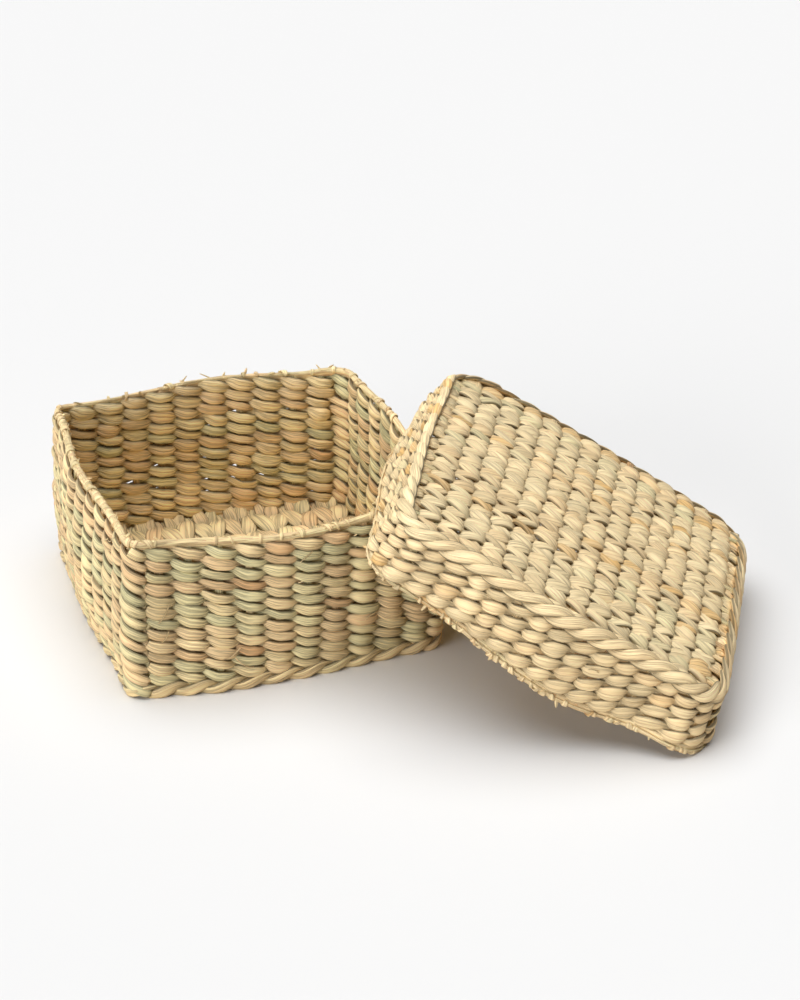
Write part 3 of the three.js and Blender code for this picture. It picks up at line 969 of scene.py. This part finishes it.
# What a tray's values mean. Four values in a row belong to sides 0 to 3.
# weaver, stake, turn: thickness of reeds and of stakes, and radius of a stake's turn into the mat
# foot_bows, rim_bows, swells: how far sides bow out at foot and rim, and beyond that half way up
# taller: how much taller sides are in their middle
# pushes: place, reach in stakes, and how far the wall is pushed out there at foot and rim
# dips: place, reach in stakes, and how much lower the rim is there
# droop, lift: how far the mat's corners sink towards the rim, and how far the rim is raised all round
# seam_side: the courses step at the corner after this side
# stray, lean: share of the walls' waves, and the way in which the twining slants
# dome, curl, tuck: rise of the mat's middle and of its edges, and length of its rows under the edge course
# mat_pitch, loose: width of a mat's row, and mean number of loose fibres on a course
# palette, mat_palette: tones of the walls, and of mat, edge course and border
#
# A weave: reach, rise: swing of the reeds out from the stakes and along them
# level, straight: power that keeps floats level, or reeds that go straight from one float to the next
# width, plump, pinch, thin: half width and thickness of floats, and of the crossings between them
# point, snug: power that tapers a float's ends, and how flat it lies
# vary, stray, uneven, twist: spreads of the floats' width, height, place and roll
# sag, crease: how far floats hang, and depth of their folds
#
# An edge course: out, level, tip: where its middle lies, and the angle at which it faces the mat
# plies, lean: reeds in the rope, and the way in which they turn
# calm, drops: share of the swing that sides lack, and how far sides lie from the mat
# reach, rise, width, pinch, thick: as in a weave, with one thickness
#
# A border: round, core, strip, long: radius, core's half height, strips' half width and length in stakes
# lanes: angles round it of the lanes of strips
# cut, fold, slim, lower: shares of cut ends and of folds, share of the radius that is missing, and drop
base = make_tray(
    "base",
    base_outside,
    weaver=3.0,
    stake=1.8,
    turn=3.5,
    foot_bows=(5.0, 5.0, 2.5, 7.0),
    rim_bows=(6.0, 6.0, 4.0, 9.0),
    swells=(0.0, 0.0, 4.0, 0.0),
    taller=(0.0, 4.0, 0.0, 0.0),
    pushes=((34.6, 1.9, 6.0, 0.0), (32.0, 1.0, 2.5, 0.0)),
    dips=((36.0, 5.5, 3.2),),
    droop=0.0,
    lift=0.6,
    radius=10.0,
    courses=12,
    course_height=7.0,
    rim_height=3.7,
    side_stakes=10,
    corner_stakes=1,
    seam_side=2,
    stray=1.0,
    lean=-1,
    dome=2.0,
    curl=3.5,
    mat_pitch=10.0,
    loose=2.5,
    tuck=3.5,
    palette=WALL_TONES,
    mat_palette=PALE_TONES,
    weave=SimpleNamespace(
        reach=2.1, rise=1.9, level=0.6, width=3.65, pinch=2.15, plump=2.1, thin=1.2, vary=0.15,
        point=0.72, snug=1.2, stray=0.45, sag=0.6, crease=0.28, uneven=0.06, twist=0.12, straight=False,
    ),
    mat_weave=SimpleNamespace(
        reach=1.5, rise=2.4, width=6.0, pinch=4.2, plump=1.5, thin=1.2, vary=0.1,
        point=0.75, snug=0.9, stray=0.5, sag=0.0, crease=0.2, uneven=0.07, twist=0.15, straight=True,
    ),
    edge=SimpleNamespace(
        reach=1.6, rise=2.7, out=0.5, level=4.2, width=3.8, pinch=1.8, thick=1.9, lean=1,
        calm=(0.0, 0.0, 0.0, 0.0), drops=(0.0, 0.0, 0.0, 0.0), tip=math.radians(15), plies=2,
    ),
    border=SimpleNamespace(
        round=1.6, strip=1.0, core=2.2, long=2.0, lanes=(0, 40, 80, 120, 160), cut=(0.25, 0.3, 0.8, 0.2),
        fold=(0.4, 0.3, 1.0, 0.3), slim=(0.2, 0.7, 0.0, 0.1), lower=(0.0, 2.0, 0.0, 0.0),
    ),
)


def lid_outside(tray):
    closed_rim = base.height + 2 * tray.wall - tray.height
    levels, halves = base_outside(base)

    def over(level):
        return np.interp(level, levels, halves) + LID_CLEARANCE + 2 * tray.wall

    top, low = over(base.height), over(closed_rim) + LID_FLARE
    return [0, tray.wall_start, tray.height], [top, top, low]


lid = make_tray(
    "lid",
    lid_outside,
    weaver=2.4,
    stake=1.6,
    turn=2.8,
    foot_bows=(0.5, 0.0, 8.0, 2.0),
    rim_bows=(4.0, 0.0, 8.0, 6.0),
    swells=(0.0, 0.0, 0.0, 0.0),
    taller=(0.0, 0.0, 4.0, 0.0),
    pushes=((28.0, 2.0, 0.0, 6.0),),
    dips=((33.0, 3.0, -5.5),),
    droop=5.0,
    lift=0.0,
    radius=22.0,
    courses=4,
    course_height=7.0,
    rim_height=3.5,
    side_stakes=12,
    corner_stakes=3,
    seam_side=0,
    stray=0.6,
    lean=1,
    dome=-2.0,
    curl=2.2,
    mat_pitch=7.3,
    loose=1.5,
    tuck=3.0,
    palette=LID_TONES,
    mat_palette=LID_TONES,
    weave=SimpleNamespace(
        reach=1.8, rise=1.8, level=0.2, width=3.8, pinch=2.0, plump=1.8, thin=1.1, vary=0.1,
        point=0.8, snug=0.9, stray=0.35, sag=0.0, crease=0.22, uneven=0.06, twist=0.12, straight=False,
    ),
    mat_weave=SimpleNamespace(
        reach=1.4, rise=2.9, width=5.2, pinch=4.0, plump=1.7, thin=1.3, vary=0.08,
        point=0.7, snug=1.8, stray=0.25, sag=0.0, crease=0.25, uneven=0.04, twist=0.15, straight=True,
    ),
    edge=SimpleNamespace(
        reach=1.4, rise=3.0, out=0.2, level=3.6, width=3.3, pinch=1.2, thick=1.6, lean=1,
        calm=(0.0, 0.0, 0.0, 0.85), drops=(3.5, 0.5, 0.0, 0.0), tip=math.radians(45), plies=3,
    ),
    border=SimpleNamespace(
        round=1.4, strip=0.9, core=2.2, long=2.0, lanes=(0, 40, 80, 120, 160), cut=(0.1, 0.1, 0.2, 0.2),
        fold=(0.3, 0.2, 0.6, 0.4), slim=(0.0, 0.0, 0.3, 0.0), lower=(0.0, 0.0, 0.0, 0.0),
    ),
)

# The lid leans with one rim edge on the floor and the opposite one across the base's front right corner
rim_half = lid_outside(lid)[1][-1] - lid.wall
rim_edge = rim_half + LID_RIM_WIDTH / 2
tilt = math.asin((base.height + FIT_GAP) / (2 * rim_half))
ahead = rim_edge * math.cos(tilt) - LID_REACH
lid_middle = (
    BASE_TOP_HALF + math.cos(LID_YAW) * ahead - math.sin(LID_YAW) * LID_SHIFT,
    -BASE_TOP_HALF + math.sin(LID_YAW) * ahead + math.cos(LID_YAW) * LID_SHIFT,
    rim_edge * math.sin(tilt),
)
base_place = Matrix.Rotation(math.pi / 2, 4, "Z")
lid_place = (
    Matrix.Translation([MM * value for value in lid_middle])
    @ Matrix.Rotation(LID_YAW, 4, "Z")
    @ Matrix.Rotation(tilt, 4, "Y")
    @ Matrix.Translation((0, 0, MM * lid.height))
    @ Matrix.Rotation(math.pi, 4, "X")
)


def dress(tray, place, mat_name, edge_name, row_ends, look):
    """Makes every piece of a tray in place of the node that has its name."""

    def put(name, bundle, material):
        drawn(bundle, f"{tray.name}_{name}", tray.name, material, place)

    put(mat_name, mat(tray), look)
    put(edge_name, edge_course(tray), look)
    for index in range(tray.courses):
        put(f"course_{index + 1:02d}", course(tray, index), look)
    put("rim", rim(tray), look)
    for index in range(tray.side_stakes):
        put(f"stake_{index + 1:02d}", through_stake(tray, index), stake_reed_look)
    for side_name, side in zip(row_ends, ROW_END_SIDES):
        put(f"{side_name}_side_stakes", side_stakes(tray, side), stake_reed_look)
    for side in range(4):
        put(f"corner_stakes_{side + 1:02d}", corner_stakes(tray, side), stake_reed_look)


dress(base, base_place, "floor_mat", "foot_course", ("back", "front"), base_reed)
dress(lid, lid_place, "top_mat", "edge_course", ("right", "left"), lid_reed)

# Camera, from the photograph's viewing angle
CAMERA_PLACE = (-0.4301, -1.5479, 0.8993)
CAMERA_YAW = math.radians(18.84)
CAMERA_DOWN = math.radians(27.396)
CAMERA_ROLL = math.radians(0.781)
FOCAL_HEIGHTS = 3.0351
SENSOR_HEIGHT = 24.0
camera_data = bpy.data.cameras.new("camera")
camera_data.sensor_fit = "VERTICAL"
camera_data.sensor_height = SENSOR_HEIGHT
camera_data.lens = FOCAL_HEIGHTS * SENSOR_HEIGHT
camera = bpy.data.objects.new("camera", camera_data)
bpy.context.scene.collection.objects.link(camera)
camera.matrix_world = (
    Matrix.Translation(CAMERA_PLACE)
    @ Matrix.Rotation(-CAMERA_YAW, 4, "Z")
    @ Matrix.Rotation(math.pi / 2 - CAMERA_DOWN, 4, "X")
    @ Matrix.Rotation(CAMERA_ROLL, 4, "Z")
)
bpy.context.scene.camera = camera

# Floor, which is paler where it is looked at than where it lights the box
FLOOR_HALF = 6.0
FLOOR_SEEN = (0.825, 0.825, 0.825)
FLOOR_LIT = (0.61, 0.54, 0.46)
FLOOR_ROUGHNESS = 0.9
FLOOR_SPECULAR = 0.1
floor_mesh = bpy.data.meshes.new("floor")
floor_corners = [(x * FLOOR_HALF, y * FLOOR_HALF, 0) for x, y in ((-1, -1), (1, -1), (1, 1), (-1, 1))]
floor_mesh.from_pydata(floor_corners, [], [(0, 1, 2, 3)])
floor = bpy.data.objects.new("floor", floor_mesh)
bpy.context.scene.collection.objects.link(floor)
floor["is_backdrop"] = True
floor_look = bpy.data.materials.new("floor_look")
floor_look.use_nodes = True
floor_nodes, floor_links = floor_look.node_tree.nodes, floor_look.node_tree.links
floor_shader = floor_nodes["Principled BSDF"]
ray = floor_nodes.new("ShaderNodeLightPath")
seen = floor_nodes.new("ShaderNodeMix")
seen.data_type = "RGBA"
seen.inputs["A"].default_value = (*FLOOR_LIT, 1)
seen.inputs["B"].default_value = (*FLOOR_SEEN, 1)
viewing = ray.outputs["Is Camera Ray"]
for kind in ("Is Transmission Ray", "Is Glossy Ray"):
    either = floor_nodes.new("ShaderNodeMath")
    either.operation = "MAXIMUM"
    floor_links.new(viewing, either.inputs[0])
    floor_links.new(ray.outputs[kind], either.inputs[1])
    viewing = either.outputs[0]
floor_links.new(viewing, seen.inputs["Factor"])
floor_links.new(seen.outputs["Result"], floor_shader.inputs["Base Color"])
floor_shader.inputs["Roughness"].default_value = FLOOR_ROUGHNESS
floor_shader.inputs["Specular IOR Level"].default_value = FLOOR_SPECULAR
floor_mesh.materials.append(floor_look)

# Light: a faint white world, and lamps by the direction they shine from, angle in degrees and strength
WORLD_STRENGTH = 0.03
KEY_LAMP = ((-0.14, 0.06, 0.98), 70, 3.2)
FILL_LAMP = ((-0.86, -0.46, 0.16), 40, 2.0)
world = bpy.data.worlds.new("world")
bpy.context.scene.world = world
world.use_nodes = True
world.node_tree.nodes["Background"].inputs["Color"].default_value = (1, 1, 1, 1)
world.node_tree.nodes["Background"].inputs["Strength"].default_value = WORLD_STRENGTH


def sun(name, towards, softness, strength):
    data = bpy.data.lights.new(name, "SUN")
    data.angle = math.radians(softness)
    data.energy = strength
    lamp = bpy.data.objects.new(name, data)
    bpy.context.scene.collection.objects.link(lamp)
    lamp.rotation_euler = Vector(towards).to_track_quat("Z", "Y").to_euler()


sun("key", *KEY_LAMP)
sun("fill", *FILL_LAMP)

bpy.context.scene.view_settings.view_transform = "Standard"

visual_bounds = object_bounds()
boxes = {"cad": cad_bounds, "visual": visual_bounds}
{key: [list(corner) for corner in box] for key, box in boxes.items()}
